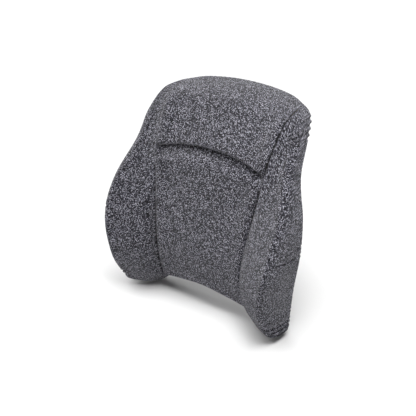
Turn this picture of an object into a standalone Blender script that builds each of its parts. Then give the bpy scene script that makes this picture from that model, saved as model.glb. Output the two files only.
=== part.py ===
"""Contoured, board-backed lumbar cushion with two side bolsters, at its real size in metres.

X runs to the right of someone facing the front, the front faces -Y and Z is up. The origin is the centre
of the four bolt holes, on the back face that a seat bracket bears on.

From back to front: dust cover, moulded plywood board with tee nuts, base foam, four blocks of cut foam,
and a cover of four sewn panels. The cover is pulled round the board's edge and stapled, and its seams are
pulled into the foam by listing wires and pull straps that pass through slots in the board.
"""

import math

import bmesh
import bpy
import numpy as np
from mathutils import Matrix, Vector

# Overall sizes, and how far the mount's centre is above the lowest point.
WIDTH, HEIGHT = 0.500, 0.551
MOUNT_HEIGHT = 0.195
HALF_WIDTH = WIDTH / 2
LOW_Z, TOP_Z = -MOUNT_HEIGHT, HEIGHT - MOUNT_HEIGHT

# Pattern of the right half, seen from the front, as shares of the half-width and of the height.
OUTLINE = [
    (0.00, 1.000), (0.322, 0.993), (0.573, 0.976), (0.766, 0.942), (0.842, 0.857), (0.876, 0.747),
    (0.988, 0.583), (1.00, 0.422), (0.952, 0.249), (0.928, 0.086), (0.915, 0.028), (0.776, 0.000),
    (0.638, 0.009), (0.521, 0.058), (0.252, 0.091), (0.00, 0.104),
]
# The side seams, as (share of the height, share of the half-width), and the arched crease between them.
SEAM = [(0.0, 0.530), (0.245, 0.503), (0.675, 0.589), (1.0, 0.656)]
ARCH_END_Z = LOW_Z + 0.7225 * HEIGHT
ARCH_RISE = 0.023
# Depth of padding in front of the board, by share of the height: at the seams and at the bolsters' crowns.
SEAM_DEPTH = [(0.0, 0.032), (0.245, 0.081), (0.675, 0.063), (1.0, 0.052)]
BOLSTER_DEPTH = [(0.0, 0.055), (0.22, 0.128), (0.45, 0.121), (0.69, 0.052), (1.0, 0.032)]
MIDDLE_CROWN = 0.003
PANEL_RISE = 0.012
PANEL_RISE_WIDTH = 0.030
BOLSTER_RISE_WIDTH = 0.066
ARCH_CREASE_DEPTH = 0.022
ARCH_LIP_WIDTH = 0.016
ARCH_CREASE_WIDTH = 0.034
ARCH_CREASE_FADE = 0.022
SIDE_ROLL, TOP_ROLL, BOTTOM_ROLL = 0.030, 0.036, 0.017
TOP_ROLL_HEIGHT = 0.080
BOTTOM_ROLL_HEIGHT = 0.060

# The board: flat in the middle, its wings bent forward and its top bent back.
BOARD_THICKNESS = 0.010
FLAT_HALF_WIDTH = 0.080
FLAT_TOP_Z = 0.155
WING_BEND = 2.15
TOP_BEND = 2.35

# Sheets, foams and the gaps between them.
GAP = 0.0005
FOAM_BLOCK_GAP = 0.0015
COVER_THICKNESS = 0.0025
BOARD_EDGE_GAP = 0.002
FLANGE_GAP = 0.0009
BASE_FOAM_THICKNESS = 0.008
DUST_COVER_THICKNESS = 0.001
SEAM_GAP = 0.6 * COVER_THICKNESS
SEAM_ALLOWANCE = 0.005
CHANNEL_HALF_WIDTH = 0.006
RIM_STRIP = 0.005
BASE_FOAM_INSET = 0.007
FLANGE_WIDTH = 0.030
LIMB_MIDDLE, LIMB_END = 0.62, 0.100
DUST_COVER_INSET = 0.014
PAD_HALF_WIDTH, PAD_HALF_HEIGHT = 0.076, 0.085
PAD_RAMP = 0.030

# Fasteners.
BOLT_SPACING_X, BOLT_SPACING_Z = 0.100, 0.120
BOLT_RADIUS = 0.004
BARREL_RADIUS = 0.005
BARREL_LENGTH = 0.009
FLANGE_RADIUS, FLANGE_THICKNESS = 0.0095, 0.0015
FLANGE_FIT = 0.0003
HOLE_CLEARANCE = 0.0004
FLANGE_POCKET_CLEARANCE = 0.002
BOLT_ENTRY_RADIUS = 0.0065
WIRE_RADIUS = 0.0015
WIRE_END_GAP = 0.032
STRAP_THICKNESS = 0.001
STRAP_WIDTH = 0.018
STRAP_TAIL = 0.020
STRAP_FIT = 0.0003
STRAP_FOLD = 0.008
STRAP_TO_SEAM = 0.0015
SLOT_WIDTH, SLOT_LENGTH = 0.005, 0.024
ARCH_STRAP_X = (-0.080, 0.0, 0.080)
SIDE_STRAP_Z = (-0.085, 0.060)
STAPLE_CROWN = 0.010
STAPLE_WIDTH, STAPLE_WIRE = 0.0012, 0.0007
STAPLE_LEG = 0.007
STAPLE_CLEARANCE = 0.0003
COVER_STAPLE_INSET, COVER_STAPLES = 0.024, 12
DUST_STAPLE_INSET, DUST_STAPLES = 0.0175, 14

# How finely things are divided, and how far a sheet runs past its outline before it is cut.
OUTLINE_STEPS = 120
EDGE_STEPS = 36
WING_STEPS, TOP_STEPS = 8, 11
SHEET_MARGIN = 0.010
CUTTER_REACH = 0.2
PANELS = {"upper": (10, 8), "lumbar": (10, 11), "bolster": (8, 17)}


def through(stations, at):
    """Values of a smooth curve through (place, value) stations, at the given places."""
    places, values = np.array(stations, float).T
    slopes = np.gradient(values, places)
    at = np.clip(at, places[0], places[-1])
    i = np.clip(np.searchsorted(places, at) - 1, 0, len(places) - 2)
    step = places[i + 1] - places[i]
    t = (at - places[i]) / step
    rise = values[i + 1] - values[i]
    bend_in = slopes[i] * step - rise
    bend_out = rise - slopes[i + 1] * step
    return values[i] + t * rise + t * (1 - t) * ((1 - t) * bend_in + t * bend_out)


def half_outline(steps):
    """Points down the right half of the outline, from the middle of the top to the middle of the bottom."""
    points = np.array(OUTLINE) * (HALF_WIDTH, HEIGHT) + (0, LOW_Z)
    ends = [points[1] * (-1, 1)], [points[-2] * (-1, 1)]
    points = np.concatenate([ends[0], points, ends[1]])
    place = np.concatenate([[0], np.cumsum(np.linalg.norm(np.diff(points, axis=0), axis=1))])
    at = np.linspace(place[1], place[-2], steps + 1)
    return np.stack([through(np.stack([place, axis], 1), at) for axis in points.T], 1)


def whole_outline(steps):
    """The closed outline, clockwise from the middle of the top, with its first point not repeated."""
    half = half_outline(steps)
    return np.concatenate([half, half[-2:0:-1] * (-1, 1)])


RIM = half_outline(OUTLINE_STEPS)
LOOP = whole_outline(OUTLINE_STEPS)


def distance_to(x, z, line, closed=False):
    """Distance in the front view from each point to a line of points."""
    start = line if closed else line[:-1]
    along = (np.roll(line, -1, axis=0) if closed else line[1:]) - start
    points = np.stack([x, z], -1)[..., None, :] - start
    t = np.clip((points * along).sum(-1) / (along**2).sum(-1), 0, 1)
    return np.linalg.norm(points - t[..., None] * along, axis=-1).min(-1)


def by_height(stations, z):
    return through(stations, (z - LOW_Z) / HEIGHT)


def seam_x(z):
    return HALF_WIDTH * by_height(SEAM, z)


def arch_z(x):
    return ARCH_END_Z + ARCH_RISE * (1 - (x / seam_x(ARCH_END_Z)) ** 2)


def crossings():
    """Where the right seam meets the rim, as places along RIM: at the top and at the bottom."""
    outside = RIM[:, 0] - seam_x(RIM[:, 1])
    found = np.flatnonzero(outside[:-1] * outside[1:] < 0)
    return [i + outside[i] / (outside[i] - outside[i + 1]) for i in (found[0], found[-1])]


def rim_at(place):
    index = np.arange(len(RIM))
    return np.stack([np.interp(place, index, axis) for axis in RIM.T], -1)


SEAM_TOP, SEAM_BOTTOM = crossings()
CORNER_TOP = float(np.argmax(RIM[:, 0] + RIM[:, 1]))
CORNER_BOTTOM = float(np.argmax(RIM[:, 0] - 1.5 * RIM[:, 1]))
SEAM_Z = np.linspace(LOW_Z, TOP_Z, 60)
SEAM_LINE = np.stack([seam_x(SEAM_Z), SEAM_Z], 1)
ARCH_X = np.linspace(-1, 1, 41) * seam_x(ARCH_END_Z)
ARCH_LINE = np.stack([ARCH_X, arch_z(ARCH_X)], 1)


def smooth(t):
    t = np.clip(t, 0, 1)
    return t * t * (3 - 2 * t)


def roll(distance, radius):
    """A quarter ellipse: 0 at an edge, 1 from the radius on."""
    return np.sqrt(1 - (1 - np.clip(distance / radius, 0, 1)) ** 2)


def board_y(x, z, depth=0.0):
    """The board's front face, or a sheet that lies this far behind it, square to it."""
    side = np.maximum(0, np.abs(x) - FLAT_HALF_WIDTH)
    up = np.maximum(0, z - FLAT_TOP_Z)
    slope = (2 * WING_BEND * side) ** 2 + (2 * TOP_BEND * up) ** 2
    front = -WING_BEND * side**2 + TOP_BEND * up**2 - BOARD_THICKNESS - GAP - DUST_COVER_THICKNESS
    return front + depth * np.sqrt(1 + slope)


def front_y(x, z, zone):
    """The cover's outer face in front of the board, on the middle panels or a bolster."""
    x = np.abs(x)
    low = smooth((RIM[-1, 1] + BOTTOM_ROLL_HEIGHT - z) / BOTTOM_ROLL_HEIGHT)
    low = low * smooth((seam_x(z) + 0.02 - x) / 0.03)
    top = smooth((z - TOP_Z + TOP_ROLL_HEIGHT) / TOP_ROLL_HEIGHT)
    radius = SIDE_ROLL + (TOP_ROLL - SIDE_ROLL) * top + (BOTTOM_ROLL - SIDE_ROLL) * low
    seam = distance_to(x, z, SEAM_LINE)
    depth = by_height(SEAM_DEPTH, z)
    if zone == "bolster":
        depth = depth + (by_height(BOLSTER_DEPTH, z) - depth) * roll(seam, BOLSTER_RISE_WIDTH)
    else:
        crown = MIDDLE_CROWN * (1 - (x / seam_x(z)) ** 2)
        crease_width = ARCH_LIP_WIDTH if zone == "upper" else ARCH_CREASE_WIDTH
        dive = ARCH_CREASE_DEPTH * (1 - roll(distance_to(x, z, ARCH_LINE), crease_width))
        dive = dive * roll(seam, ARCH_CREASE_FADE)
        depth = depth + PANEL_RISE * roll(seam, PANEL_RISE_WIDTH) + crown - dive
    return board_y(x, z) - depth * roll(distance_to(x, z, LOOP, closed=True), radius)


def steps_along(count, length, first, last):
    """Fractions of a line in count steps, with a strip of the given width at each end."""
    even = np.linspace(0, 1, count - 1)
    inner = (even + 0.5 - 0.5 * np.cos(math.pi * even)) / 2
    start, end = first / length, 1 - last / length
    return np.concatenate([[0], start + (end - start) * inner, [1]])


def middle_plan(u, v, upper):
    """Front-view place on the upper or lumbar panel, u across from -1 to 1 and v from 0 up to 1."""
    cross = rim_at(SEAM_TOP if upper else SEAM_BOTTOM)
    side_z = ARCH_END_Z + (cross[1] - ARCH_END_Z) * (v if upper else 1 - v)
    half = seam_x(side_z) - SEAM_GAP
    edge = RIM[: int(SEAM_TOP) + 2] if upper else RIM[int(SEAM_BOTTOM) :][::-1]
    edge_z = np.interp(np.abs(u) * seam_x(cross[1]), edge[:, 0], edge[:, 1])
    arch = arch_z(u * seam_x(ARCH_END_Z)) + (SEAM_GAP if upper else -SEAM_GAP)
    return u * half, (arch + (edge_z - arch) * v if upper else edge_z + (arch - edge_z) * v)


def bolster_plan(u, v):
    """Front-view place on the right bolster, u from the seam to the outer edge and v from 0 up to 1."""
    top = rim_at(SEAM_TOP + (CORNER_TOP - SEAM_TOP) * u)
    bottom = rim_at(SEAM_BOTTOM + (CORNER_BOTTOM - SEAM_BOTTOM) * u)
    outer = rim_at(CORNER_BOTTOM + (CORNER_TOP - CORNER_BOTTOM) * v)
    ends = rim_at([SEAM_BOTTOM, SEAM_TOP, CORNER_BOTTOM, CORNER_TOP])
    seam_z = ends[0, 1] + (ends[1, 1] - ends[0, 1]) * v
    seam = np.stack([seam_x(seam_z), seam_z], -1)
    u, v = u[..., None], v[..., None]
    sides = (1 - v) * bottom + v * top + (1 - u) * seam + u * outer
    corners = (1 - u) * ((1 - v) * ends[0] + v * ends[1]) + u * ((1 - v) * ends[2] + v * ends[3])
    x, z = np.moveaxis(sides - corners, -1, 0)
    return x + SEAM_GAP * (1 - u[..., 0]), z


def inward(x, z, distance):
    """The front-view place this far in from a point of the rim, towards the middle of its limb."""
    aim = Vector((LIMB_MIDDLE * x, min(max(z, LOW_Z + LIMB_END), TOP_Z - LIMB_END)))
    here = Vector((x, z))
    return here + (aim - here).normalized() * distance


def new_object(name, mesh, finish, collection):
    obj = bpy.data.objects.new(name, mesh)
    obj.data.materials.append(finish)
    collection.objects.link(obj)
    return obj


def mesh_from(bm, name, smooth_angle=None):
    mesh = bpy.data.meshes.new(name)
    bm.to_mesh(mesh)
    bm.free()
    if smooth_angle:
        mesh.shade_smooth()
        mesh.set_sharp_from_angle(angle=math.radians(smooth_angle))
    return mesh


def finish(name, colour, roughness, metallic=0.0):
    made = bpy.data.materials.new(name)
    made.use_nodes = True
    shader = made.node_tree.nodes["Principled BSDF"]
    shader.inputs["Base Color"].default_value = (*colour, 1.0)
    shader.inputs["Roughness"].default_value = roughness
    shader.inputs["Metallic"].default_value = metallic
    return made


def panel_grid(zone, columns, rows):
    """The outer face of a panel in front of the board, its seam and rim vertices marked."""
    bm = bmesh.new()
    bmesh.ops.create_grid(bm, x_segments=columns, y_segments=rows, size=1)
    bm.verts.ensure_lookup_table()
    kind = bm.verts.layers.int.new("edge")
    u_index = np.array([round((v.co.x + 1) / 2 * columns) for v in bm.verts])
    v_index = np.array([round((v.co.y + 1) / 2 * rows) for v in bm.verts])
    if zone == "bolster":
        u = steps_along(columns, HALF_WIDTH - ARCH_LINE[-1, 0], CHANNEL_HALF_WIDTH, RIM_STRIP)[u_index]
        v = steps_along(rows, HEIGHT, RIM_STRIP, RIM_STRIP)[v_index]
        x, z = bolster_plan(u, v)
        on_rim = (u_index == columns) | (v_index == 0) | (v_index == rows)
        on_seam = u_index == 0
    else:
        upper = zone == "upper"
        across = 2 * ARCH_LINE[-1, 0]
        u = 2 * steps_along(columns, across, CHANNEL_HALF_WIDTH, CHANNEL_HALF_WIDTH)[u_index] - 1
        strips = (CHANNEL_HALF_WIDTH, RIM_STRIP) if upper else (RIM_STRIP, CHANNEL_HALF_WIDTH)
        tall = TOP_Z - ARCH_END_Z if upper else ARCH_END_Z - LOW_Z
        v = steps_along(rows, tall, *strips)[v_index]
        x, z = middle_plan(u, v, upper)
        on_rim = v_index == (rows if upper else 0)
        on_seam = (u_index == 0) | (u_index == columns) | (v_index == (0 if upper else rows))
    y = front_y(x, z, zone)
    for vert, *place in zip(bm.verts, x, y, z):
        vert.co = place
        vert[kind] = 2 if on_rim[vert.index] else int(on_seam[vert.index])
    bm.normal_update()
    return bm, kind


def cover_panel(zone, columns, rows):
    """A panel of the cover: its face, its seam allowance and the flange that wraps behind the board."""
    bm, kind = panel_grid(zone, columns, rows)
    rim = [e for e in bm.edges if e.is_boundary and all(v[kind] == 2 for v in e.verts)]
    seam = [e for e in bm.edges if e.is_boundary and all(v[kind] == 1 for v in e.verts)]
    for vert in extruded(bm, seam):
        vert.co.y += SEAM_ALLOWANCE
    behind = BOARD_THICKNESS + FLANGE_GAP + COVER_THICKNESS
    for inset in (0.0, FLANGE_WIDTH / 2, FLANGE_WIDTH / 2):
        turned = extruded(bm, rim)
        for vert in turned:
            x, z = inward(vert.co.x, vert.co.z, inset)
            vert.co = (x, board_y(x, z, behind), z)
        rim = [e for e in bm.edges if e.is_boundary and all(v in turned for v in e.verts)]
    return bm


def extruded(bm, edges):
    made = bmesh.ops.extrude_edge_only(bm, edges=edges)["geom"]
    return [item for item in made if isinstance(item, bmesh.types.BMVert)]


def foam_block(zone, columns, rows):
    """The foam under a panel, down to the base foam, without the strips over channels and rim."""
    bm, _ = panel_grid(zone, columns, rows)
    for vert in bm.verts:
        vert.co = vert.co - vert.normal * (COVER_THICKNESS + GAP)
    border = [f for f in bm.faces if any(v.is_boundary for v in f.verts)]
    bmesh.ops.delete(bm, geom=border, context="FACES")
    behind = GAP + BASE_FOAM_THICKNESS + FOAM_BLOCK_GAP
    front = bmesh.ops.extrude_face_region(bm, geom=bm.faces[:])["geom"]
    front = {item for item in front if isinstance(item, bmesh.types.BMVert)}
    for vert in bm.verts:
        if vert not in front:
            vert.co.y = board_y(vert.co.x, vert.co.z, -behind)
    return bm


def mirrored(bm):
    bmesh.ops.scale(bm, vec=(-1, 1, 1), verts=bm.verts[:])
    bmesh.ops.reverse_faces(bm, faces=bm.faces[:])
    return bm


def bend_lines():
    """Columns and rows of a sheet that follows the board: close together only where it bends."""
    side = np.linspace(FLAT_HALF_WIDTH, HALF_WIDTH + SHEET_MARGIN, WING_STEPS + 1)
    top = np.linspace(FLAT_TOP_Z, TOP_Z + SHEET_MARGIN, TOP_STEPS + 1)
    return np.concatenate([-side[::-1], side]), np.concatenate([[LOW_Z - SHEET_MARGIN], top])


def bent_sheet(near, far, columns, rows):
    """A closed sheet between two offsets from the board, given as functions of x and z."""
    bm = bmesh.new()
    bmesh.ops.create_grid(bm, x_segments=len(columns) - 1, y_segments=len(rows) - 1, size=1)
    for vert in bm.verts:
        x = columns[round((vert.co.x + 1) / 2 * (len(columns) - 1))]
        z = rows[round((vert.co.y + 1) / 2 * (len(rows) - 1))]
        vert.co = (x, near(x, z), z)
    made = bmesh.ops.extrude_face_region(bm, geom=bm.faces[:])["geom"]
    for vert in made:
        if isinstance(vert, bmesh.types.BMVert):
            vert.co.y = far(vert.co.x, vert.co.z)
    bmesh.ops.recalc_face_normals(bm, faces=bm.faces[:])
    return bm


def prism(points, y_from, y_to):
    """An outline in the front view, extruded from one depth to another."""
    bm = bmesh.new()
    bm.faces.new([bm.verts.new((x, y_from, z)) for x, z in points])
    made = bmesh.ops.extrude_face_region(bm, geom=bm.faces[:])["geom"]
    verts = [item for item in made if isinstance(item, bmesh.types.BMVert)]
    bmesh.ops.translate(bm, vec=(0, y_to - y_from, 0), verts=verts)
    bmesh.ops.recalc_face_normals(bm, faces=bm.faces[:])
    return bm


def loop_inset(inset):
    """The outline moved in by a small distance, square to itself."""
    points = whole_outline(EDGE_STEPS)
    along = np.roll(points, -1, axis=0) - np.roll(points, 1, axis=0)
    along /= np.linalg.norm(along, axis=1)[:, None]
    return points + inset * np.stack([along[:, 1], -along[:, 0]], 1) * (1, 1)


def cut(obj, cutter, operation="DIFFERENCE"):
    modifier = obj.modifiers.new(operation.title() + " " + cutter.name, "BOOLEAN")
    modifier.operation = operation
    modifier.solver = "EXACT"
    modifier.object = cutter


def cutter_from(bm, name, collection):
    obj = bpy.data.objects.new(name, mesh_from(bm, name))
    obj.hide_render = True
    obj.display_type = "WIRE"
    collection.objects.link(obj)
    return obj


def merged(parts):
    """One bmesh holding copies of several, as separate bodies."""
    whole = bmesh.new()
    for part in parts:
        mesh = bpy.data.meshes.new("part")
        part.to_mesh(mesh)
        part.free()
        whole.from_mesh(mesh)
        bpy.data.meshes.remove(mesh)
    return whole


def block(size, matrix):
    bm = bmesh.new()
    bmesh.ops.create_cube(bm, size=1, matrix=matrix @ Matrix.Diagonal((*size, 1)))
    return bm


def cylinder(radius, y_from, y_to, x, z):
    bm = bmesh.new()
    place = Matrix.Translation((x, (y_from + y_to) / 2, z)) @ Matrix.Rotation(math.pi / 2, 4, "X")
    bmesh.ops.create_cone(
        bm,
        cap_ends=True,
        segments=20,
        radius1=radius,
        radius2=radius,
        depth=abs(y_to - y_from),
        matrix=place,
    )
    return bm


def surface_frame(x, z, y, heading):
    """A place on the back of the board: local X along the heading, local Z out of the board."""
    step = 0.001
    slope_x = (board_y(x + step, z) - board_y(x - step, z)) / (2 * step)
    slope_z = (board_y(x, z + step) - board_y(x, z - step)) / (2 * step)
    out = Vector((-slope_x, 1, -slope_z)).normalized()
    along = Vector((heading[0], 0, heading[1]))
    along = (along - out * along.dot(out)).normalized()
    across = out.cross(along)
    turn = Matrix((along, across, out)).transposed().to_4x4()
    return Matrix.Translation((x, y, z)) @ turn


def staple_mesh():
    """A crown and two legs, the crown's underside at local zero."""
    bm = block((STAPLE_CROWN, STAPLE_WIDTH, STAPLE_WIRE), Matrix.Translation((0, 0, STAPLE_WIRE / 2)))
    reach = STAPLE_CROWN / 2 - STAPLE_WIRE
    for side in (-reach, reach):
        everything = bm.verts[:] + bm.edges[:] + bm.faces[:]
        bmesh.ops.bisect_plane(bm, geom=everything, plane_co=(side, 0, 0), plane_no=(1, 0, 0))
    bm.normal_update()
    legs = [f for f in bm.faces if f.normal.z < -0.9 and abs(f.calc_center_median().x) > reach]
    made = bmesh.ops.extrude_face_region(bm, geom=legs)["geom"]
    ends = [item for item in made if isinstance(item, bmesh.types.BMVert)]
    bmesh.ops.translate(bm, vec=(0, 0, -STAPLE_LEG), verts=ends)
    bmesh.ops.delete(bm, geom=legs, context="FACES_ONLY")
    bmesh.ops.recalc_face_normals(bm, faces=bm.faces[:])
    return bm


def staple_holes(frames):
    """Boxes round the legs of staples, with their clearance, as one mesh."""
    reach = (STAPLE_CROWN - STAPLE_WIRE) / 2
    size = (STAPLE_WIRE + 2 * STAPLE_CLEARANCE, STAPLE_WIDTH + 2 * STAPLE_CLEARANCE, 2 * STAPLE_LEG)
    drop = -STAPLE_CLEARANCE
    places = [(frame, side) for frame in frames for side in (-reach, reach)]
    return merged([block(size, frame @ Matrix.Translation((side, 0, drop))) for frame, side in places])


def spread(count, inset, offset):
    """Places spaced evenly round the outline, moved in by the inset, each with the outline's direction."""
    for i in range(count):
        k = int((i + offset) * len(LOOP) / count) % len(LOOP)
        ahead = LOOP[(k + 1) % len(LOOP)] - LOOP[k - 1]
        x, z = inward(*LOOP[k], inset)
        yield x, z, ahead


def staple_frames(places, depth):
    return [surface_frame(x, z, board_y(x, z, depth), ahead) for x, z, ahead in places]


def seam_place(name, at):
    """A place on a seam, its direction there and the depth of the valley between the two panels."""
    step = 0.001
    if name == "arch":
        place = np.array([at, arch_z(at)])
        ahead = np.array([2 * step, arch_z(at + step) - arch_z(at - step)])
        valley = front_y(place[0], place[1], "lumbar")
    else:
        side = 1 if name == "right" else -1
        place = np.array([side * seam_x(at), at])
        ahead = np.array([side * (seam_x(at + step) - seam_x(at - step)), 2 * step])
        valley = front_y(place[0], place[1], "bolster")
    return place, ahead / np.linalg.norm(ahead), float(valley)


def wire_y(valley):
    """Depth of a listing wire's axis: under the seam allowance, inside the fold of the straps."""
    return valley + SEAM_ALLOWANCE + STRAP_TO_SEAM + STRAP_THICKNESS + STRAP_FIT + WIRE_RADIUS


def listing_wire(name, start, end, points, collection, steel):
    curve = bpy.data.curves.new(name, "CURVE")
    curve.dimensions = "3D"
    curve.bevel_depth = WIRE_RADIUS
    curve.bevel_resolution = 1
    curve.use_fill_caps = True
    spline = curve.splines.new("POLY")
    spline.points.add(points - 1)
    for point, at in zip(spline.points, np.linspace(start, end, points)):
        place, _, valley = seam_place(name.split("_")[0], at)
        point.co = (place[0], wire_y(valley), place[1], 1)
    return new_object(name, curve, steel, collection)


def outward(seam, at):
    """The direction in the front view that lies square to a seam, away from the mount."""
    place, ahead, _ = seam_place(seam, at)
    across = np.array([-ahead[1], ahead[0]])
    return across if np.dot(across, place) > 0 else -across


def strap_path(seam, at):
    """One edge of a strap: its stapled tail, its run through the slot and its fold over the wire."""
    place, _, valley = seam_place(seam, at)
    across = outward(seam, at)
    radius = WIRE_RADIUS + STRAP_FIT + STRAP_THICKNESS / 2
    top = wire_y(valley)
    tail = [place + across * (a - radius) for a in (STRAP_TAIL, STRAP_TAIL / 2, 0)]
    path = [(x, board_y(x, z, BOARD_THICKNESS + GAP + STRAP_THICKNESS / 2), z) for x, z in tail]
    for i in range(5):
        turn = math.pi * (1 - i / 4)
        x, z = place + across * radius * math.cos(turn)
        path.append((x, top - radius * math.sin(turn), z))
    x, z = place + across * radius
    return path + [(x, top + STRAP_FOLD, z)]


def pull_strap(seam, at):
    _, ahead, _ = seam_place(seam, at)
    half = STRAP_WIDTH / 2 * ahead[0 if seam == "arch" else 1]
    bm = bmesh.new()
    edges = []
    for place in (at - half, at + half):
        verts = [bm.verts.new(point) for point in strap_path(seam, place)]
        edges += [bm.edges.new(pair) for pair in zip(verts, verts[1:])]
    bmesh.ops.bridge_loops(bm, edges=edges)
    return bm


def turned_tee_nut(name, x, z, collection, steel):
    """A tee nut: its flange on the board's front, its threaded barrel towards the back."""
    profile = [
        (FLANGE_RADIUS, FLANGE_THICKNESS), (FLANGE_RADIUS, 0), (BARREL_RADIUS, 0),
        (BARREL_RADIUS, -BARREL_LENGTH), (BOLT_RADIUS, -BARREL_LENGTH), (BOLT_RADIUS, FLANGE_THICKNESS),
    ]
    bm = bmesh.new()
    verts = [bm.verts.new((radius, 0, height)) for radius, height in profile]
    for pair in zip(verts, verts[1:] + verts[:1]):
        bm.edges.new(pair)
    obj = new_object(name, mesh_from(bm, name), steel, collection)
    obj.location = (x, board_y(x, z) - FLANGE_FIT, z)
    obj.rotation_euler = (math.pi / 2, 0, 0)
    screw = obj.modifiers.new("Turn", "SCREW")
    screw.steps = screw.render_steps = 16
    screw.use_merge_vertices = True
    screw.merge_threshold = 0.0001
    return obj


def solidified(obj, thickness, offset):
    modifier = obj.modifiers.new("Thickness", "SOLIDIFY")
    modifier.thickness = thickness
    modifier.offset = offset
    return obj


def clear_scene():
    for obj in list(bpy.data.objects):
        bpy.data.objects.remove(obj, do_unlink=True)


def build():
    clear_scene()
    cushion = bpy.data.collections.new("lumbar_support_cushion")
    cutters = bpy.data.collections.new("cutters")
    for collection in (cushion, cutters):
        bpy.context.scene.collection.children.link(collection)

    tweed = finish("woven tweed upholstery", (0.095, 0.092, 0.110), 0.95)
    foam = finish("polyurethane foam", (0.72, 0.66, 0.48), 0.9)
    plywood = finish("moulded birch plywood", (0.52, 0.36, 0.20), 0.6)
    nonwoven = finish("black spun-bonded cloth", (0.015, 0.015, 0.016), 0.9)
    webbing = finish("woven polypropylene strap", (0.55, 0.54, 0.50), 0.8)
    zinc = finish("zinc-plated steel", (0.62, 0.63, 0.65), 0.35, 1.0)
    wire = finish("bright steel wire", (0.50, 0.50, 0.51), 0.4, 1.0)

    # Where the fasteners and straps go.
    bolts = [(x * BOLT_SPACING_X / 2, z * BOLT_SPACING_Z / 2) for z in (1, -1) for x in (-1, 1)]
    straps = [("arch", i + 1, x) for i, x in enumerate(ARCH_STRAP_X)]
    straps += [(side, i + 1, z) for side in ("left", "right") for i, z in enumerate(SIDE_STRAP_Z)]
    flange_back = BOARD_THICKNESS + FLANGE_GAP + COVER_THICKNESS
    dust_lift = FLANGE_GAP + COVER_THICKNESS + GAP + STAPLE_WIRE + GAP
    dust_back = BOARD_THICKNESS + dust_lift + DUST_COVER_THICKNESS
    tail_back = BOARD_THICKNESS + GAP + STRAP_THICKNESS
    cover_frames = staple_frames(spread(COVER_STAPLES, COVER_STAPLE_INSET, 0.5), flange_back + GAP)
    dust_frames = staple_frames(spread(DUST_STAPLES, DUST_STAPLE_INSET, 0.25), dust_back + GAP)

    # Pull straps, their slots and their staples.
    slots = []
    strap_frames = []
    for seam, number, at in straps:
        name = f"pull_strap_{seam}_{number}"
        mesh = mesh_from(pull_strap(seam, at), name)
        solidified(new_object(name, mesh, webbing, cushion), STRAP_THICKNESS, 0)
        _, ahead, _ = seam_place(seam, at)
        _, (tail_x, _, tail_z), (slot_x, _, slot_z), *_ = strap_path(seam, at)
        strap_frames += staple_frames([(tail_x, tail_z, ahead)], tail_back + GAP)
        turn = Matrix.Rotation(-math.atan2(ahead[1], ahead[0]), 4, "Y")
        middle = Matrix.Translation((slot_x, board_y(slot_x, slot_z), slot_z)) @ turn
        slots.append(block((SLOT_LENGTH, 6 * BOARD_THICKNESS, SLOT_WIDTH), middle))
    slot_cutter = cutter_from(merged(slots), "strap_slots", cutters)

    # The board and what is bolted to it.
    reach = (-CUTTER_REACH, CUTTER_REACH)
    bend_columns, bend_rows = bend_lines()
    outline = prism(loop_inset(COVER_THICKNESS + BOARD_EDGE_GAP), *reach)
    edge = cutter_from(outline, "board_outline", cutters)
    sheet = bent_sheet(board_y, lambda x, z: board_y(x, z, BOARD_THICKNESS), bend_columns, bend_rows)
    board = new_object("back_board", mesh_from(sheet, "back_board"), plywood, cushion)
    cut(board, edge, "INTERSECT")
    barrels = merged([cylinder(BARREL_RADIUS + HOLE_CLEARANCE, *reach, *bolt) for bolt in bolts])
    cut(board, cutter_from(barrels, "tee_nut_holes", cutters))
    cut(board, slot_cutter)
    for number, bolt in enumerate(bolts, 1):
        turned_tee_nut(f"tee_nut_{number}", *bolt, cushion, zinc)

    # Foam: a base sheet on the board and four shaped blocks.
    edge = cutter_from(prism(loop_inset(BASE_FOAM_INSET), *reach), "base_foam_outline", cutters)
    sheet = bent_sheet(
        lambda x, z: board_y(x, z, -GAP - BASE_FOAM_THICKNESS),
        lambda x, z: board_y(x, z, -GAP),
        bend_columns,
        bend_rows,
    )
    base = new_object("base_foam", mesh_from(sheet, "base_foam"), foam, cushion)
    cut(base, edge, "INTERSECT")
    pockets = merged([cylinder(FLANGE_RADIUS + FLANGE_POCKET_CLEARANCE, *reach, *bolt) for bolt in bolts])
    cut(base, cutter_from(pockets, "tee_nut_pockets", cutters))
    cut(base, slot_cutter)

    staple_holes_through = cutter_from(staple_holes(cover_frames + dust_frames), "staple_holes", cutters)
    for zone, (columns, rows) in PANELS.items():
        sides = ("right", "left") if zone == "bolster" else ("",)
        for side in sides:
            name = f"{zone}_{side}" if side else zone
            block_mesh, panel = foam_block(zone, columns, rows), cover_panel(zone, columns, rows)
            if side == "left":
                block_mesh, panel = mirrored(block_mesh), mirrored(panel)
            new_object(f"{name}_foam", mesh_from(block_mesh, f"{name}_foam", 40), foam, cushion)
            obj = new_object(f"{name}_cover", mesh_from(panel, f"{name}_cover", 60), tweed, cushion)
            cut(solidified(obj, COVER_THICKNESS, -1), staple_holes_through)

    # Listing wires in the seams' sleeves.
    arch_end = float(seam_x(ARCH_END_Z)) - WIRE_END_GAP
    low, high = (float(rim_at(place)[1]) for place in (SEAM_BOTTOM, SEAM_TOP))
    listing_wire("arch_listing_wire", -arch_end, arch_end, 17, cushion, wire)
    for side in ("left", "right"):
        name = f"{side}_listing_wire"
        listing_wire(name, low + WIRE_END_GAP, high - WIRE_END_GAP, 23, cushion, wire)

    # The dust cover over the back, lying on the board where the bracket bears.
    def lift(x, z):
        ramp = max(abs(x) - PAD_HALF_WIDTH, abs(z) - PAD_HALF_HEIGHT) / PAD_RAMP
        return BOARD_THICKNESS + GAP + (dust_lift - GAP) * min(max(ramp, 0), 1)

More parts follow.
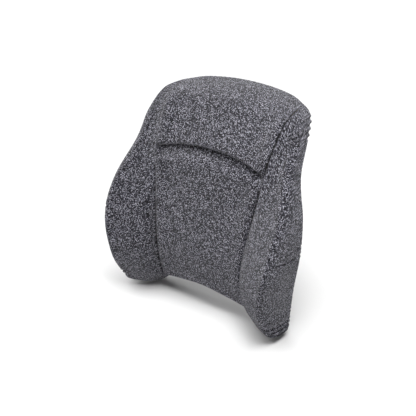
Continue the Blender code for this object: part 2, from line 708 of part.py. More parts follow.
    pad_x = (PAD_HALF_WIDTH, PAD_HALF_WIDTH + PAD_RAMP)
    pad_z = (PAD_HALF_HEIGHT, PAD_HALF_HEIGHT + PAD_RAMP)
    wide = bend_columns[bend_columns > pad_x[1]]
    columns = np.array(sorted([*wide, *-wide, *pad_x, *(-x for x in pad_x)]))
    rows = np.array(sorted([*bend_rows, *pad_z, *(-z for z in pad_z)]))
    sheet = bent_sheet(
        lambda x, z: board_y(x, z, lift(x, z)),
        lambda x, z: board_y(x, z, lift(x, z) + DUST_COVER_THICKNESS),
        columns,
        rows,
    )
    dust_cover = new_object("dust_cover", mesh_from(sheet, "dust_cover"), nonwoven, cushion)
    points = [inward(x, z, DUST_COVER_INSET) for x, z in whole_outline(EDGE_STEPS)]
    cut(dust_cover, cutter_from(prism(points, *reach), "dust_cover_outline", cutters), "INTERSECT")
    entries = merged([cylinder(BOLT_ENTRY_RADIUS, *reach, *bolt) for bolt in bolts])
    cut(dust_cover, cutter_from(entries, "bolt_entries", cutters))
    cut(dust_cover, cutter_from(staple_holes(dust_frames), "dust_staple_holes", cutters))
    pricks = staple_holes(cover_frames + dust_frames + strap_frames)
    cut(board, cutter_from(pricks, "board_pricks", cutters))

    # Staples: the cover's, the straps' and the dust cover's.
    staple = mesh_from(staple_mesh(), "staple")
    for obj in [o for o in cushion.objects if o.name.startswith("pull_strap")]:
        cut(obj, cutter_from(staple_holes(strap_frames), f"{obj.name}_pricks", cutters))
    for kind, frames in (("cover", cover_frames), ("strap", strap_frames), ("dust_cover", dust_frames)):
        for number, frame in enumerate(frames, 1):
            obj = new_object(f"{kind}_staple_{number:02}", staple, zinc, cushion)
            obj.matrix_world = frame


build()
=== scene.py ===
# %% [markdown]
# # A lumbar support cushion, upholstered in tweed
# This is a bolt-on back cushion: a bent plywood board, shaped foam in front of it, and a sewn
# cover pulled round the board's edge and stapled behind. The board, its tee nuts, the wires and
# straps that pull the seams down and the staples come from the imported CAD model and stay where
# they are. What is made here is everything soft, and every finish.

import math

import bmesh
import bpy
import numpy as np
from mathutils import Matrix, Vector


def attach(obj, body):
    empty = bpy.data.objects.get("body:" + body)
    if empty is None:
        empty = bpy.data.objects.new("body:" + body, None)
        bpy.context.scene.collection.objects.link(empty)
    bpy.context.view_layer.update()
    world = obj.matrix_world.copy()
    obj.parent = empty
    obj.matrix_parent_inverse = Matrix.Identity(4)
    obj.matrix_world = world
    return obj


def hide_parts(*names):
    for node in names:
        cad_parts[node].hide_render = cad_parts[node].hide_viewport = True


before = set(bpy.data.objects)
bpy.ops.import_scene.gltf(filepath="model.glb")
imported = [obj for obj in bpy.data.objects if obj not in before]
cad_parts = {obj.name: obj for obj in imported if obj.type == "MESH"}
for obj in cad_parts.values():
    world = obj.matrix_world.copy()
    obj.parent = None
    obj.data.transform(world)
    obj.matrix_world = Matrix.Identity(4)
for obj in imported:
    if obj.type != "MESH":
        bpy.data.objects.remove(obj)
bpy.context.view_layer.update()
scene = bpy.context.scene

# %% [markdown]
# ## The camera
# The cushion is seen from its right and from above. A camera on a ball round a target point is
# the easiest to think about: two angles, a distance and a small roll about its own axis. It could
# also be aimed with a Track To constraint, but a matrix made from three directions leaves nothing
# live in the scene.

# %% Camera
CAMERA_AZIMUTH, CAMERA_ELEVATION = math.radians(34.3), math.radians(26.0)
CAMERA_DISTANCE, CAMERA_ROLL = 1.737, 0.036
CAMERA_TARGET = Vector((0.002, -0.069, 0.083))
LENS_MM, SENSOR_MM = 63.5, 36.0


def camera_axes(azimuth, elevation, roll_angle):
    """The camera's right, up and back directions: azimuth 0 looks along +Y."""
    back = Vector((
        math.sin(azimuth) * math.cos(elevation),
        -math.cos(azimuth) * math.cos(elevation),
        math.sin(elevation),
    ))
    right = Vector((math.cos(azimuth), math.sin(azimuth), 0))
    up = back.cross(right)
    turned = math.cos(roll_angle), math.sin(roll_angle)
    return right * turned[0] + up * turned[1], up * turned[0] - right * turned[1], back


right, up, back = camera_axes(CAMERA_AZIMUTH, CAMERA_ELEVATION, CAMERA_ROLL)
camera_data = bpy.data.cameras.new("camera")
camera_data.lens, camera_data.sensor_width = LENS_MM, SENSOR_MM
camera = bpy.data.objects.new("camera", camera_data)
place = Matrix((right, up, back)).transposed().to_4x4()
place.translation = CAMERA_TARGET + back * CAMERA_DISTANCE
camera.matrix_world = place
scene.collection.objects.link(camera)
scene.camera = camera
print("camera at", tuple(round(c, 3) for c in camera.location))

# %% [markdown]
# ## Two small helpers for finishes
# Colours are written as sRGB hex, as a swatch book gives them, and a shader wants linear light,
# so one function turns one into the other. A second one adds a node, sets it and links it.

# %% Colour and node helpers


def linear(swatch, alpha=1.0):
    """A shader colour from an sRGB hex swatch."""
    channels = np.array([int(swatch[i : i + 2], 16) for i in (1, 3, 5)]) / 255
    low, high = channels / 12.92, ((channels + 0.055) / 1.055) ** 2.4
    return (*np.where(channels <= 0.04045, low, high), alpha)


def connect(tree, made, inputs):
    """Sets a node's inputs: to a value, to an output, or to another node's first output."""
    for socket, value in inputs.items():
        if isinstance(value, bpy.types.Node):
            value = value.outputs[0]
        if isinstance(value, bpy.types.NodeSocket):
            tree.links.new(value, made.inputs[socket])
        else:
            made.inputs[socket].default_value = value


def node(tree, kind, inputs, stops=(), **settings):
    """Adds a node with its settings, its links and, on a colour ramp, its (place, swatch) stops."""
    made = tree.nodes.new("ShaderNode" + kind)
    for name, value in settings.items():
        setattr(made, name, value)
    connect(tree, made, inputs)
    for number, (place, swatch) in enumerate(stops):
        elements = made.color_ramp.elements
        element = elements[number] if number < len(elements) else elements.new(place)
        element.position, element.color = place, linear(swatch)
    return made


def new_material(name, roughness, **constants):
    """A material with its Principled shader's constant sockets set, and that shader and its tree."""
    made = bpy.data.materials.new(name)
    made.use_nodes = True
    shader = made.node_tree.nodes["Principled BSDF"]
    shader.inputs["Roughness"].default_value = roughness
    for socket, value in constants.items():
        shader.inputs[socket.replace("_", " ")].default_value = value
    return made, shader, made.node_tree


# %% [markdown]
# ## The tweed
# Upholstery tweed is a plain weave of thick, slubby wool-mix yarn. Each yarn is spun from fibres
# dyed near-black, mid grey and pale grey before spinning, so the cloth is a heather: it has no
# line pattern, and every crossing of warp and weft shows its own grey. An image could give that,
# but it would have to be tiled and would follow a flat map. Here the pattern is worked out from a
# "weave" attribute, which holds the cloth's own width and length in metres at each point, so that
# rows of yarn run up each panel and round its edges as cut cloth does.
# The yarn spacing is that of a real one, 1.6 mm.

# %% Tweed
YARN_SPACING = 0.0016
YARN_WANDER = 0.0012


def tweed():
    made, shader, tree = new_material(
        "wool-mix tweed, woven",
        0.92,
        Sheen_Weight=0.15,
        Sheen_Roughness=0.5,
        Specular_IOR_Level=0.15,
    )
    weave = node(tree, "Attribute", {}, attribute_name="weave").outputs["Vector"]
    # Yarns wander a little, so the rows are never ruled lines.
    wander = node(tree, "TexNoise", {"Vector": weave, "Scale": 160, "Detail": 1}).outputs["Color"]
    wander = node(tree, "VectorMath", {0: wander, 1: (0.5, 0.5, 0.5)}, operation="SUBTRACT")
    reach = (YARN_WANDER, YARN_WANDER, 0)
    threads = node(tree, "VectorMath", {0: wander, 1: reach, 2: weave}, operation="MULTIPLY_ADD")
    threads = node(tree, "VectorMath", {0: threads, "Scale": 1 / YARN_SPACING}, operation="SCALE")
    # One random grey for each crossing, and a slower one along each yarn.
    crossing = node(tree, "VectorMath", {0: threads}, operation="FLOOR")
    nub = node(tree, "TexWhiteNoise", {"Vector": crossing}, noise_dimensions="2D")
    slub = node(tree, "TexNoise", {"Vector": threads, "Scale": 0.9, "Detail": 3, "Roughness": 0.7})
    patch = node(tree, "TexNoise", {"Vector": weave, "Scale": 22, "Detail": 2})
    shade = node(tree, "Math", {0: nub, 1: 0.62, 2: -0.05}, operation="MULTIPLY_ADD")
    shade = node(tree, "Math", {0: slub, 1: 0.42, 2: shade}, operation="MULTIPLY_ADD")
    shade = node(tree, "Math", {0: patch, 1: 0.08, 2: shade}, operation="MULTIPLY_ADD")
    grey = node(tree, "ValToRGB", {"Fac": shade}, stops=[
        (0.24, "#050506"), (0.42, "#111015"), (0.58, "#2b2a32"), (0.70, "#5f5e69"), (0.82, "#b0afb9"),
    ])
    # Yarns are round: each crossing is a small pillow.
    pillow = node(tree, "VectorMath", {0: threads}, operation="FRACTION")
    pillow = node(tree, "VectorMath", {0: pillow, "Scale": math.pi}, operation="SCALE")
    hump = node(tree, "SeparateXYZ", {"Vector": node(tree, "VectorMath", {0: pillow}, operation="SINE")})
    height = node(tree, "Math", {0: hump.outputs["X"], 1: hump.outputs["Y"]}, operation="MULTIPLY")
    height = node(tree, "Math", {0: slub, 1: 0.8, 2: height}, operation="MULTIPLY_ADD")
    bump = node(tree, "Bump", {"Height": height, "Strength": 0.7, "Distance": 0.0012})
    connect(tree, shader, {"Base Color": grey, "Normal": bump})
    return made


tweed_cloth = tweed()
print("made", tweed_cloth.name)

# %% [markdown]
# ## The cushion's surface
# The padding's shape is written once, as a depth in front of the board at each place of the
# front view. The board bends: its wings come forward and its top leans back. The padding on it
# has an outline, two side seams, an arched crease, and a few tables of depth by height. Sculpting
# by hand would look as good, but it couldn't be kept to the size of the board underneath.

# %% Sizes of the cushion
WIDTH, HEIGHT = 0.500, 0.551
HALF_WIDTH = WIDTH / 2
LOW_Z = -0.195
TOP_Z = LOW_Z + HEIGHT
# The right half's outline, as shares of the half-width and of the height.
OUTLINE = [
    (0.00, 1.000), (0.322, 0.993), (0.573, 0.976), (0.766, 0.942), (0.842, 0.857), (0.876, 0.747),
    (0.988, 0.583), (1.00, 0.422), (0.952, 0.249), (0.928, 0.086), (0.915, 0.028), (0.776, 0.000),
    (0.638, 0.009), (0.521, 0.058), (0.252, 0.091), (0.00, 0.104),
]
# The side seams: (share of the height, share of the half-width).
SEAM = [(0.0, 0.530), (0.245, 0.503), (0.675, 0.589), (1.0, 0.656)]
ARCH_END_Z, ARCH_RISE = LOW_Z + 0.7225 * HEIGHT, 0.023
# Depths in front of the board, by share of the height.
SEAM_DEPTH = [(0.0, 0.032), (0.245, 0.081), (0.675, 0.063), (1.0, 0.052)]
BOLSTER_DEPTH = [(0.0, 0.055), (0.22, 0.128), (0.45, 0.121), (0.69, 0.052), (1.0, 0.032)]
BOLSTER_RISE_WIDTH = 0.066
MIDDLE_CROWN, PANEL_RISE, PANEL_RISE_WIDTH = 0.003, 0.012, 0.030
ARCH_CREASE_DEPTH, ARCH_LIP_WIDTH, ARCH_CREASE_WIDTH, ARCH_CREASE_FADE = 0.022, 0.016, 0.034, 0.022
SIDE_ROLL, TOP_ROLL, BOTTOM_ROLL = 0.030, 0.036, 0.017
TOP_ROLL_HEIGHT, BOTTOM_ROLL_HEIGHT = 0.080, 0.060
# The bottom's tighter roll ends a little past the seam, over this width.
BOTTOM_ROLL_PAST_SEAM, BOTTOM_ROLL_FADE = 0.020, 0.030
# The board under it.
BOARD_THICKNESS, BOARD_BACK = 0.010, 0.0015
FLAT_HALF_WIDTH, WING_BEND = 0.080, 2.15
FLAT_TOP_Z, TOP_BEND = 0.155, 2.35

# %% Curves of the outline


def through(stations, at):
    """Values of a smooth curve through (place, value) stations, at the given places."""
    places, values = np.array(stations, float).T
    slopes = np.gradient(values, places)
    at = np.clip(at, places[0], places[-1])
    i = np.clip(np.searchsorted(places, at) - 1, 0, len(places) - 2)
    step = places[i + 1] - places[i]
    t = (at - places[i]) / step
    rise = values[i + 1] - values[i]
    bend_in = slopes[i] * step - rise
    bend_out = rise - slopes[i + 1] * step
    return values[i] + t * rise + t * (1 - t) * ((1 - t) * bend_in + t * bend_out)


def by_height(stations, z):
    return through(stations, (z - LOW_Z) / HEIGHT)


def half_outline(steps):
    """The right half of the outline, from the middle of the top down to the middle of the bottom."""
    points = np.array(OUTLINE) * (HALF_WIDTH, HEIGHT) + (0, LOW_Z)
    points = np.concatenate([[points[1] * (-1, 1)], points, [points[-2] * (-1, 1)]])
    run = np.concatenate([[0], np.cumsum(np.linalg.norm(np.diff(points, axis=0), axis=1))])
    at = np.linspace(run[1], run[-2], steps + 1)
    return np.stack([through(np.stack([run, axis], 1), at) for axis in points.T], 1)


RIM = half_outline(240)
LOOP = np.concatenate([RIM, RIM[-2:0:-1] * (-1, 1)])
LOOP_RUN = np.concatenate([[0], np.cumsum(np.linalg.norm(np.diff(LOOP, axis=0), axis=1))])
RIM_LENGTH = LOOP_RUN[-1] + np.linalg.norm(LOOP[0] - LOOP[-1])


def seam_x(z):
    return HALF_WIDTH * by_height(SEAM, z)


def arch_z(x):
    return ARCH_END_Z + ARCH_RISE * (1 - (x / seam_x(ARCH_END_Z)) ** 2)


SEAM_Z = np.linspace(LOW_Z, TOP_Z, 90)
SEAM_LINE = np.stack([seam_x(SEAM_Z), SEAM_Z], 1)
ARCH_X = np.linspace(-1, 1, 61) * seam_x(ARCH_END_Z)
ARCH_LINE = np.stack([ARCH_X, arch_z(ARCH_X)], 1)
print(f"the rim is {RIM_LENGTH:.3f} m round")


def rim_at(place):
    index = np.arange(len(RIM))
    return np.stack([np.interp(place, index, axis) for axis in RIM.T], -1)


def crossings():
    """Where the right seam meets the rim, as places along RIM."""
    outside = RIM[:, 0] - seam_x(RIM[:, 1])
    found = np.flatnonzero(outside[:-1] * outside[1:] < 0)
    return [i + outside[i] / (outside[i] - outside[i + 1]) for i in (found[0], found[-1])]


SEAM_TOP, SEAM_BOTTOM = crossings()
CORNER_TOP = float(np.argmax(RIM[:, 0] + RIM[:, 1]))
CORNER_BOTTOM = float(np.argmax(RIM[:, 0] - 1.5 * RIM[:, 1]))

# %% Depth of the padding


def nearest(x, z, line, closed=False):
    """Distance in the front view from each point to a line, and how far along it that is."""
    start = line if closed else line[:-1]
    along = (np.roll(line, -1, axis=0) if closed else line[1:]) - start
    lengths = np.linalg.norm(along, axis=1)
    points = np.stack([x, z], -1)[..., None, :] - start
    t = np.clip((points * along).sum(-1) / lengths**2, 0, 1)
    away = np.linalg.norm(points - t[..., None] * along, axis=-1)
    best = away.argmin(-1)
    run = np.concatenate([[0], np.cumsum(lengths)])
    share = np.take_along_axis(t, best[..., None], -1)[..., 0]
    return away.min(-1), run[best] + share * lengths[best]


def smooth(t):
    t = np.clip(t, 0, 1)
    return t * t * (3 - 2 * t)


def roll(distance, radius):
    """A quarter ellipse: 0 at an edge, 1 from the radius on."""
    return np.sqrt(1 - (1 - np.clip(distance / radius, 0, 1)) ** 2)


def board_y(x, z, depth=0.0):
    """The board's front face, or a sheet this far behind it, square to it."""
    side = np.maximum(0, np.abs(x) - FLAT_HALF_WIDTH)
    rise = np.maximum(0, z - FLAT_TOP_Z)
    slope = (2 * WING_BEND * side) ** 2 + (2 * TOP_BEND * rise) ** 2
    front = -WING_BEND * side**2 + TOP_BEND * rise**2 - BOARD_THICKNESS - BOARD_BACK
    return front + depth * np.sqrt(1 + slope)


def front_y(x, z, zone):
    """The cover's outer face in front of the board, on the middle panels or a bolster."""
    x = np.abs(x)
    low = smooth((RIM[-1, 1] + BOTTOM_ROLL_HEIGHT - z) / BOTTOM_ROLL_HEIGHT)
    low = low * smooth((seam_x(z) + BOTTOM_ROLL_PAST_SEAM - x) / BOTTOM_ROLL_FADE)
    top = smooth((z - TOP_Z + TOP_ROLL_HEIGHT) / TOP_ROLL_HEIGHT)
    radius = SIDE_ROLL + (TOP_ROLL - SIDE_ROLL) * top + (BOTTOM_ROLL - SIDE_ROLL) * low
    seam, _ = nearest(x, z, SEAM_LINE)
    depth = by_height(SEAM_DEPTH, z)
    if zone == "bolster":
        depth = depth + (by_height(BOLSTER_DEPTH, z) - depth) * roll(seam, BOLSTER_RISE_WIDTH)
    else:
        crown = MIDDLE_CROWN * (1 - (x / seam_x(z)) ** 2)
        # The upper panel's lip rolls over sharply; the lumbar panel rises slowly from under it.
        away = nearest(x, z, ARCH_LINE)[0]
        lip, rise = roll(away, ARCH_LIP_WIDTH), smooth(away / ARCH_CREASE_WIDTH)
        dive = ARCH_CREASE_DEPTH * (1 - (lip if zone == "upper" else rise))
        dive = dive * roll(seam, ARCH_CREASE_FADE)
        depth = depth + PANEL_RISE * roll(seam, PANEL_RISE_WIDTH) + crown - dive
    return board_y(x, z) - depth * roll(nearest(x, z, LOOP, closed=True)[0], radius)


print("deepest bolster:", round(float(-front_y(np.array(0.2), np.array(0.05), "bolster")), 3), "m")

# %% [markdown]
# ## The panels of the cover, as padded pieces
# The cover is four panels sewn together: the upper one, the lumbar one and a bolster down each
# side. Each becomes one closed, crowned form: its face, the part that turns round the board's edge
# and lies behind it, and its underside against the base foam. A face could be modelled flat and
# swollen by a Subdivision modifier alone, but seams that run where the real ones do need a grid
# that follows them. So each starts as a grid from create_grid, laid on the surface above: u runs
# across the panel and v runs up it, and the rim is then extruded round the edge.

# %% Layout of a panel
SEAM_GAP = 0.0003
CHANNEL, RIM_STRIP, RIM_SPLITS = 0.006, 0.004, 4
PANELS = {"upper": (92, 56), "lumbar": (92, 100), "bolster": (46, 170)}


def steps_along(count, length, first, last, rims):
    """Fractions of a line in count steps, with a strip at each end.

    Where rims says that an end is a rim, its strip is split into steps that narrow towards the rim.
    """
    start, end = first / length, 1 - last / length
    crowded = (np.arange(RIM_SPLITS) / RIM_SPLITS) ** 2
    head = start * crowded if rims[0] else [0]
    tail = 1 - (1 - end) * crowded[::-1] if rims[1] else [1]
    even = np.linspace(0, 1, count + 1 - len(head) - len(tail))
    inner = (even + 0.5 - 0.5 * np.cos(math.pi * even)) / 2
    return np.concatenate([head, start + (end - start) * inner, tail])


def middle_plan(u, v, upper):
    """Front-view place on the upper or lumbar panel, u across from -1 to 1 and v from 0 up to 1."""
    cross = rim_at(SEAM_TOP if upper else SEAM_BOTTOM)
    side_z = ARCH_END_Z + (cross[1] - ARCH_END_Z) * (v if upper else 1 - v)
    half = seam_x(side_z) - SEAM_GAP
    edge = RIM[: int(SEAM_TOP) + 2] if upper else RIM[int(SEAM_BOTTOM) :][::-1]
    edge_z = np.interp(np.abs(u) * seam_x(cross[1]), edge[:, 0], edge[:, 1])
    arch = arch_z(u * seam_x(ARCH_END_Z)) + (SEAM_GAP if upper else -SEAM_GAP)
    return u * half, (arch + (edge_z - arch) * v if upper else edge_z + (arch - edge_z) * v)


def bolster_plan(u, v):
    """Front-view place on the right bolster, u from the seam to the outer edge and v from 0 up to 1."""
    top = rim_at(SEAM_TOP + (CORNER_TOP - SEAM_TOP) * u)
    bottom = rim_at(SEAM_BOTTOM + (CORNER_BOTTOM - SEAM_BOTTOM) * u)
    outer = rim_at(CORNER_BOTTOM + (CORNER_TOP - CORNER_BOTTOM) * v)
    ends = rim_at([SEAM_BOTTOM, SEAM_TOP, CORNER_BOTTOM, CORNER_TOP])
    seam_z = ends[0, 1] + (ends[1, 1] - ends[0, 1]) * v
    seam = np.stack([seam_x(seam_z), seam_z], -1)
    u, v = u[..., None], v[..., None]
    sides = (1 - v) * bottom + v * top + (1 - u) * seam + u * outer
    corners = (1 - u) * ((1 - v) * ends[0] + v * ends[1]) + u * ((1 - v) * ends[2] + v * ends[3])
    x, z = np.moveaxis(sides - corners, -1, 0)
    return x + SEAM_GAP * (1 - u[..., 0]), z


# Where "in from the rim" points: a share of the way out, and clear of the top and bottom.
LIMB_SHARE, LIMB_MARGIN = 0.62, 0.100


def inward(x, z, distance):
    """The place this far in from a point of the rim, towards the middle of its limb."""
    aim = Vector((LIMB_SHARE * x, min(max(z, LOW_Z + LIMB_MARGIN), TOP_Z - LIMB_MARGIN)))
    here = Vector((x, z))
    return here + (aim - here).normalized() * distance


# %% A panel's outer skin
UNDERSIDE, FACE, SEAM_EDGE, RIM_EDGE, TURNED = -1, 0, 1, 2, 3
COVER_THICKNESS, COVER_LIFT = 0.0025, 0.0009
BEHIND = BOARD_THICKNESS + COVER_LIFT + COVER_THICKNESS
BASE_FOAM_FRONT = -0.0100
SEAM_ALLOWANCE = 0.0045
# The turn round the board's edge: (how far in, share of the way back).
TURN = [
    (0.0, 0.30), (0.0, 0.60), (0.0004, 0.82), (0.0020, 0.95), (0.0050, 1.0), (0.0100, 1.0),
    (0.0160, 1.0), (0.0230, 1.0), (0.0300, 1.0),
]


def panel_places(zone):
    """A panel's grid: its points, which of them are on its seams and rim, and its underside's y."""
    columns, rows = PANELS[zone]
    i, j = np.meshgrid(np.arange(columns + 1), np.arange(rows + 1), indexing="ij")
    across = 2 * ARCH_LINE[-1, 0]
    on_seam = i == 0
    if zone == "bolster":
        wide = HALF_WIDTH - ARCH_LINE[-1, 0]
        u = steps_along(columns, wide, CHANNEL, RIM_STRIP, (False, True))[i]
        v = steps_along(rows, HEIGHT, RIM_STRIP, RIM_STRIP, (True, True))[j]
        x, z = bolster_plan(u, v)
        on_rim = (i == columns) | (j == 0) | (j == rows)
    else:
        upper = zone == "upper"
        tall = TOP_Z - ARCH_END_Z if upper else ARCH_END_Z - LOW_Z
        strips = (CHANNEL, RIM_STRIP) if upper else (RIM_STRIP, CHANNEL)
        u = 2 * steps_along(columns, across, CHANNEL, CHANNEL, (False, False))[i] - 1
        v = steps_along(rows, tall, *strips, (not upper, upper))[j]
        x, z = middle_plan(u, v, upper)
        on_rim = j == (rows if upper else 0)
        on_seam = (i == 0) | (i == columns) | (j == (0 if upper else rows))
    points = np.stack([x, front_y(x, z, zone), z], -1)
    under = board_y(x, z, BASE_FOAM_FRONT)
    # Over the channels of the seams the underside stays just below the valley.
    channels = [(slice(0, 2), slice(None), (slice(0, 1), slice(None)))]
    if zone != "bolster":
        channels.append((slice(-2, None), slice(None), (slice(-1, None), slice(None))))
        rows_of = (slice(0, 2), slice(0, 1)) if zone == "upper" else (slice(-2, None), slice(-1, None))
        channels.append((slice(None), rows_of[0], (slice(None), rows_of[1])))
    for a, b, valley in channels:
        under[a, b] = np.minimum(under[a, b], points[valley][..., 1] + SEAM_ALLOWANCE)
    return points, on_seam, on_rim, under


def cloth_places(points):
    """The width and length of flat cloth at each point of a grid, from the grid's middle."""
    runs = []
    for axis in (0, 1):
        steps = np.linalg.norm(np.diff(points, axis=axis), axis=2)
        run = np.concatenate([np.zeros_like(steps.take([0], axis)), np.cumsum(steps, axis)], axis)
        runs.append(run - run.take([run.shape[axis] // 2], axis))
    return np.stack(runs, -1)


def panel_skin(zone):
    """The outer skin of a panel in front of the board."""
    columns, rows = PANELS[zone]
    points, on_seam, on_rim, under = panel_places(zone)
    cloth = cloth_places(points)
    bm = bmesh.new()
    bmesh.ops.create_grid(bm, x_segments=columns, y_segments=rows, size=1)
    kind = bm.verts.layers.int.new("kind")
    below = bm.verts.layers.float.new("below")
    weave = bm.verts.layers.float_vector.new("weave")
    for vert in bm.verts:
        at = round((vert.co.x + 1) / 2 * columns), round((vert.co.y + 1) / 2 * rows)
        vert.co = points[at]
        vert[kind] = RIM_EDGE if on_rim[at] else SEAM_EDGE if on_seam[at] else FACE
        vert[below] = under[at]
        vert[weave] = (*cloth[at], 0)
    bm.normal_update()
    return bm


print("panels:", {name: columns * rows for name, (columns, rows) in PANELS.items()}, "faces")

# %% Turning a skin round the edge, and closing it


def turn_round_edge(bm):
    """Extrudes a skin's rim round the board's edge and in behind it."""
    kind, weave = bm.verts.layers.int["kind"], bm.verts.layers.float_vector["weave"]
    below, inner = bm.verts.layers.float["below"], bm.verts.layers.float_vector.new("inner")
    rim = [e for e in bm.edges if e.is_boundary and all(v[kind] == RIM_EDGE for v in e.verts)]
    at = {}
    for vert in {v for e in rim for v in e.verts}:
        near = [e.other_vert(vert) for e in vert.link_edges]
        near = [v for v in near if v[kind] != RIM_EDGE] or near
        out = sum((vert[weave] - v[weave] for v in near), Vector())
        at[vert] = vert.co.copy(), out.normalized()
        x, z = inward(vert.co.x, vert.co.z, COVER_THICKNESS)
        vert[inner] = (x, vert.co.y, z)
        vert[below] = 1
    for inset, share in TURN:
        made = bmesh.ops.extrude_edge_only(bm, edges=rim)["geom"]
        turned = {item for item in made if isinstance(item, bmesh.types.BMVert)}
        before, at = at, {}
        for vert in turned:
            old = next(v for v in (e.other_vert(vert) for e in vert.link_edges) if v in before)
            start, out = before[old]
            x, z = inward(start.x, start.z, inset)
            back_y = float(board_y(x, z, BEHIND))
            vert.co = (x, back_y if share == 1 else start.y + (back_y - start.y) * share, z)
            vert[kind] = TURNED
            vert[weave] = old[weave] + out * (vert.co - old.co).length
            at[vert] = start, out
            x, z = inward(start.x, start.z, max(inset, COVER_THICKNESS))
            vert[inner] = (x, min(vert.co.y, float(board_y(x, z, BEHIND - COVER_THICKNESS))), z)
        rim = [e for e in bm.edges if e.is_boundary and all(v in turned for v in e.verts)]
    bm.normal_update()


def close_under(bm):
    """Gives a skin its underside: against the base foam, over the channels and behind the board."""
    kind, below = bm.verts.layers.int["kind"], bm.verts.layers.float["below"]
    inner, pinned = bm.verts.layers.float_vector["inner"], bm.verts.layers.int.new("pinned")
    made = bmesh.ops.extrude_face_region(bm, geom=bm.faces[:])["geom"]
    outer = {item for item in made if isinstance(item, bmesh.types.BMVert)}
    for vert in bm.verts:
        vert[pinned] = int(vert not in outer or vert[kind] != FACE)
        if vert in outer:
            continue
        vert[kind] = UNDERSIDE
        if vert[inner].length > 0:
            vert.co = vert[inner]
        else:
            vert.co.y = vert[below]


def closed_panel(zone, left=False):
    bm = panel_skin(zone)
    turn_round_edge(bm)
    close_under(bm)
    if left:
        bmesh.ops.scale(bm, vec=(-1, 1, 1), verts=bm.verts[:])
        bmesh.ops.reverse_faces(bm, faces=bm.faces[:])
    if bm.calc_volume(signed=True) < 0:
        bmesh.ops.reverse_faces(bm, faces=bm.faces[:])
    return bm


# %% [markdown]
# ## Swelling the pads
# Foam under a sewn cover pushes it out between the seams and is held back at them. A cloth
# simulation is meant to give that: the underside, the seams and the turned edge are pinned, the
# face is free and starts a little slack, pressure inside swells it, and each point's move is
# capped. As it stands the simulation moves no point, which its printout shows, and the cause isn't
# known. So the faces stay where the slack puts them, up to 4.5 mm inside the shape above.

# %% Swelling
SLACK, SLACK_RAMP, CAP = 0.0045, 0.045, 0.0100
PRESSURE = 4.0
FRAMES = 20


def coordinates(mesh):
    flat = np.empty(len(mesh.vertices) * 3)
    mesh.vertices.foreach_get("co", flat)
    return flat.reshape(-1, 3)


def layer_values(mesh, name):
    kind = mesh.attributes[name].data_type
    width = 3 if kind == "FLOAT_VECTOR" else 1
    flat = np.empty(len(mesh.vertices) * width)
    mesh.attributes[name].data.foreach_get("vector" if width == 3 else "value", flat)
    return flat.reshape(-1, 3) if width == 3 else flat


def apply_modifiers(obj):
    """Leaves the result of an object's modifiers in its mesh."""
    bpy.context.view_layer.update()
    done = bpy.data.meshes.new_from_object(obj.evaluated_get(bpy.context.evaluated_depsgraph_get()))
    obj.modifiers.clear()
    name, spare = obj.data.name, obj.data
    obj.data = done
    bpy.data.meshes.remove(spare)
    done.name = name


def normals_of(mesh):
    flat = np.empty(len(mesh.vertices) * 3)
    mesh.vertex_normals.foreach_get("vector", flat)
    return flat.reshape(-1, 3)


def swell(obj, zone):
    """Draws a pad's face in by the slack, runs the Cloth modifier on it and keeps the result."""
    mesh = obj.data
    cut_shape = coordinates(mesh)
    free = layer_values(mesh, "pinned") == 0
    x, z = cut_shape[free][:, 0], cut_shape[free][:, 2]
    inside = nearest(x, z, LOOP, closed=True)[0]
    inside = np.minimum(inside, nearest(np.abs(x), z, SEAM_LINE)[0])
    if zone != "bolster":
        inside = np.minimum(inside, nearest(x, z, ARCH_LINE)[0])
    slack = cut_shape.copy()
    slack[free] -= normals_of(mesh)[free] * (SLACK * smooth(inside / SLACK_RAMP))[:, None]
    mesh.vertices.foreach_set("co", slack.ravel())
    group = obj.vertex_groups.new(name="held")
    group.add(np.flatnonzero(~free).tolist(), 1.0, "REPLACE")
    modifier = obj.modifiers.new("Swell", "CLOTH")
    cloth = modifier.settings
    cloth.quality = 4
    cloth.mass = 0.35
    cloth.tension_stiffness = cloth.compression_stiffness = 12
    cloth.shear_stiffness = 4
    cloth.bending_stiffness = 0.6
    cloth.use_pressure, cloth.uniform_pressure_force = True, PRESSURE
    cloth.effector_weights.gravity = 0
    cloth.vertex_group_mass = "held"
    modifier.point_cache.frame_start, modifier.point_cache.frame_end = 1, FRAMES
    for frame_number in range(1, FRAMES + 1):
        scene.frame_set(frame_number)
    swollen = obj.evaluated_get(bpy.context.evaluated_depsgraph_get()).data
    moved = coordinates(swollen) - slack
    obj.modifiers.remove(modifier)
    obj.vertex_groups.remove(group)
    scene.frame_set(1)
    far = np.linalg.norm(moved, axis=1)
    moved *= (np.minimum(far, CAP) / np.maximum(far, 1e-9))[:, None]
    mesh.vertices.foreach_set("co", (slack + moved).ravel())
    mesh.update()
    print(f"{obj.name}: swelled by {1000 * far.max():.1f} mm, {1000 * far[free].mean():.1f} on average")


# %% [markdown]
# ## Gathers
# Flat cloth pulled round a curved edge has too much length there, and it bunches into small
# gathers that run in from the edge. They are deepest at the corners. A simulation would need a
# much finer mesh to fold that sharply, so they are pressed into the mesh as narrow valleys, each
# with its own place along the rim, width, depth and lean.

# %% Gathers along the rim
GATHER_SPACING, GATHER_JITTER = 0.013, 0.35
GATHER_WIDTH, GATHER_DEPTH, GATHER_REACH = (0.0018, 0.0034), (0.0002, 0.0006), (0.003, 0.010)
GATHER_WEAKEST, GATHER_LEAN = 0.2, 0.5
# The cloth pushed out beside a gather, as a share of its depth.
GATHER_SHOULDER = 0.35


